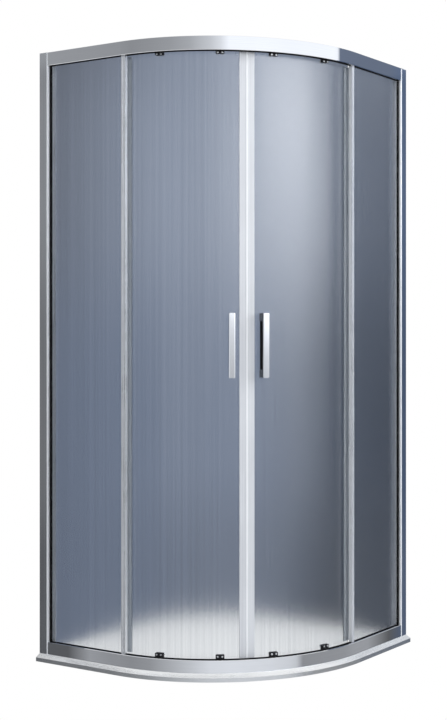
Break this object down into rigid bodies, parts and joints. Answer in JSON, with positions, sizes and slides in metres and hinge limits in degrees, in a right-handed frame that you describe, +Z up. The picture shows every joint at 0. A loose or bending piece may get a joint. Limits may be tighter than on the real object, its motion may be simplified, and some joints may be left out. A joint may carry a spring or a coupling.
{
  "type": "corner shower enclosure",
  "caption": "Corner shower enclosure with a curved front: frosted fixed panels, curved sliding doors on rollers, bright top and bottom rails, wall profiles and a threshold sill.",
  "frame": {"origin": "on the floor, under the middle of the enclosure's box", "axes": "+Z up; the left wall is the plane at low X, the right wall the plane at high Y, and the doors meet on the diagonal that faces +X and -Y"},
  "size_m": [0.9176, 0.9176, 2.024],
  "materials": {
    "satin_aluminium": "satin anodised",
    "bright_aluminium": "polished",
    "grey_plastic": "satin",
    "frosted_glass": "frosted with fine upright streaks",
    "black_rubber": "matte",
    "black_plastic": "matte",
    "white_seal": "translucent white",
    "clear_seal": "clear",
    "magnet": "matte",
    "chrome": "polished",
    "steel": "bright zinc",
    "roller_nylon": "satin"
  },
  "bodies": {
    "frame": {"threshold_sill": "satin_aluminium", "bottom_rail": "bright_aluminium", "top_rail": "bright_aluminium", "infill_strips": "black_rubber", "wall_caps": "grey_plastic", "wall_profile_left": "bright_aluminium", "jamb_profile_left": "bright_aluminium", "fixed_glass_left": "frosted_glass", "glass_gasket_left": "black_rubber", "edge_profile_left": "bright_aluminium", "corner_block_top_left": "grey_plastic", "corner_block_bottom_left": "grey_plastic", "wall_profile_right": "bright_aluminium", "jamb_profile_right": "bright_aluminium", "fixed_glass_right": "frosted_glass", "glass_gasket_right": "black_rubber", "edge_profile_right": "bright_aluminium", "corner_block_top_right": "grey_plastic", "corner_block_bottom_right": "grey_plastic", "edge_profile_plugs": "black_plastic", "frame_screws": "steel", "door_stops": "black_rubber"},
    "left_door": {"door_glass_left": "frosted_glass", "magnetic_seal_left": "white_seal", "magnet_strip_left": "magnet", "rear_seal_left": "clear_seal", "handle_left": "chrome", "handle_pad_left": "black_rubber", "handle_screws_left": "steel", "carriage_top_front_left": "black_plastic", "carriage_top_rear_left": "black_plastic", "carriage_bottom_front_left": "black_plastic", "carriage_bottom_rear_left": "black_plastic", "carriage_bolts_left": "steel", "roller_axles_left": "steel"},
    "right_door": {"door_glass_right": "frosted_glass", "magnetic_seal_right": "white_seal", "magnet_strip_right": "magnet", "rear_seal_right": "clear_seal", "handle_right": "chrome", "handle_pad_right": "black_rubber", "handle_screws_right": "steel", "carriage_top_front_right": "black_plastic", "carriage_top_rear_right": "black_plastic", "carriage_bottom_front_right": "black_plastic", "carriage_bottom_rear_right": "black_plastic", "carriage_bolts_right": "steel", "roller_axles_right": "steel"},
    "roller_top_front_a_left": {"roller_top_front_a_left": "roller_nylon"},
    "roller_top_front_b_left": {"roller_top_front_b_left": "roller_nylon"},
    "roller_top_rear_a_left": {"roller_top_rear_a_left": "roller_nylon"},
    "roller_top_rear_b_left": {"roller_top_rear_b_left": "roller_nylon"},
    "roller_bottom_front_left": {"roller_bottom_front_left": "roller_nylon"},
    "roller_bottom_rear_left": {"roller_bottom_rear_left": "roller_nylon"},
    "roller_top_front_a_right": {"roller_top_front_a_right": "roller_nylon"},
    "roller_top_front_b_right": {"roller_top_front_b_right": "roller_nylon"},
    "roller_top_rear_a_right": {"roller_top_rear_a_right": "roller_nylon"},
    "roller_top_rear_b_right": {"roller_top_rear_b_right": "roller_nylon"},
    "roller_bottom_front_right": {"roller_bottom_front_right": "roller_nylon"},
    "roller_bottom_rear_right": {"roller_bottom_rear_right": "roller_nylon"}
  },
  "joints": [
    {"name": "left_door_slide", "type": "hinge", "parent": "frame", "child": "left_door", "pos_m": [-0.10875, 0.10875, 0], "axis": [0, 0, -1], "range_deg": [0, 26]},
    {"name": "right_door_slide", "type": "hinge", "parent": "frame", "child": "right_door", "pos_m": [-0.10875, 0.10875, 0], "axis": [0, 0, 1], "range_deg": [0, 26]},
    {"name": "roller_top_front_a_left_spin", "type": "hinge", "parent": "left_door", "child": "roller_top_front_a_left", "pos_m": [0.20336, -0.30987, 2.0098], "axis": [0.5807, -0.8141, 0], "range_deg": [0, 1428.77]},
    {"name": "roller_top_front_b_left_spin", "type": "hinge", "parent": "left_door", "child": "roller_top_front_b_left", "pos_m": [0.18545, -0.32265, 2.0098], "axis": [0.5807, -0.8141, 0], "range_deg": [0, 1428.77]},
    {"name": "roller_top_rear_a_left_spin", "type": "hinge", "parent": "left_door", "child": "roller_top_rear_a_left", "pos_m": [0.02646, -0.39561, 2.0098], "axis": [0.2385, -0.9711, 0], "range_deg": [0, 1428.77]},
    {"name": "roller_top_rear_b_left_spin", "type": "hinge", "parent": "left_door", "child": "roller_top_rear_b_left", "pos_m": [0.00509, -0.40086, 2.0098], "axis": [0.2385, -0.9711, 0], "range_deg": [0, 1428.77]},
    {"name": "roller_bottom_front_left_spin", "type": "hinge", "parent": "left_door", "child": "roller_bottom_front_left", "pos_m": [0.19441, -0.31626, 0.0382], "axis": [0.5807, -0.8141, 0], "range_deg": [-1428.77, 0]},
    {"name": "roller_bottom_rear_left_spin", "type": "hinge", "parent": "left_door", "child": "roller_bottom_rear_left", "pos_m": [0.01578, -0.39823, 0.0382], "axis": [0.2385, -0.9711, 0], "range_deg": [-1428.77, 0]},
    {"name": "roller_top_front_a_right_spin", "type": "hinge", "parent": "right_door", "child": "roller_top_front_a_right", "pos_m": [0.30987, -0.20336, 2.0098], "axis": [0.8141, -0.5807, 0], "range_deg": [-1428.77, 0]},
    {"name": "roller_top_front_b_right_spin", "type": "hinge", "parent": "right_door", "child": "roller_top_front_b_right", "pos_m": [0.32265, -0.18545, 2.0098], "axis": [0.8141, -0.5807, 0], "range_deg": [-1428.77, 0]},
    {"name": "roller_top_rear_a_right_spin", "type": "hinge", "parent": "right_door", "child": "roller_top_rear_a_right", "pos_m": [0.39561, -0.02646, 2.0098], "axis": [0.9711, -0.2385, 0], "range_deg": [-1428.77, 0]},
    {"name": "roller_top_rear_b_right_spin", "type": "hinge", "parent": "right_door", "child": "roller_top_rear_b_right", "pos_m": [0.40086, -0.00509, 2.0098], "axis": [0.9711, -0.2385, 0], "range_deg": [-1428.77, 0]},
    {"name": "roller_bottom_front_right_spin", "type": "hinge", "parent": "right_door", "child": "roller_bottom_front_right", "pos_m": [0.31626, -0.19441, 0.0382], "axis": [0.8141, -0.5807, 0], "range_deg": [0, 1428.77]},
    {"name": "roller_bottom_rear_right_spin", "type": "hinge", "parent": "right_door", "child": "roller_bottom_rear_right", "pos_m": [0.39823, -0.01578, 0.0382], "axis": [0.9711, -0.2385, 0], "range_deg": [0, 1428.77]}
  ],
  "couplings": [
    {"joint": "roller_top_front_a_left_spin", "follows": "left_door_slide", "ratio": 54.953},
    {"joint": "roller_top_front_b_left_spin", "follows": "left_door_slide", "ratio": 54.953},
    {"joint": "roller_top_rear_a_left_spin", "follows": "left_door_slide", "ratio": 54.953},
    {"joint": "roller_top_rear_b_left_spin", "follows": "left_door_slide", "ratio": 54.953},
    {"joint": "roller_bottom_front_left_spin", "follows": "left_door_slide", "ratio": -54.953},
    {"joint": "roller_bottom_rear_left_spin", "follows": "left_door_slide", "ratio": -54.953},
    {"joint": "roller_top_front_a_right_spin", "follows": "right_door_slide", "ratio": -54.953},
    {"joint": "roller_top_front_b_right_spin", "follows": "right_door_slide", "ratio": -54.953},
    {"joint": "roller_top_rear_a_right_spin", "follows": "right_door_slide", "ratio": -54.953},
    {"joint": "roller_top_rear_b_right_spin", "follows": "right_door_slide", "ratio": -54.953},
    {"joint": "roller_bottom_front_right_spin", "follows": "right_door_slide", "ratio": 54.953},
    {"joint": "roller_bottom_rear_right_spin", "follows": "right_door_slide", "ratio": 54.953}
  ]
}
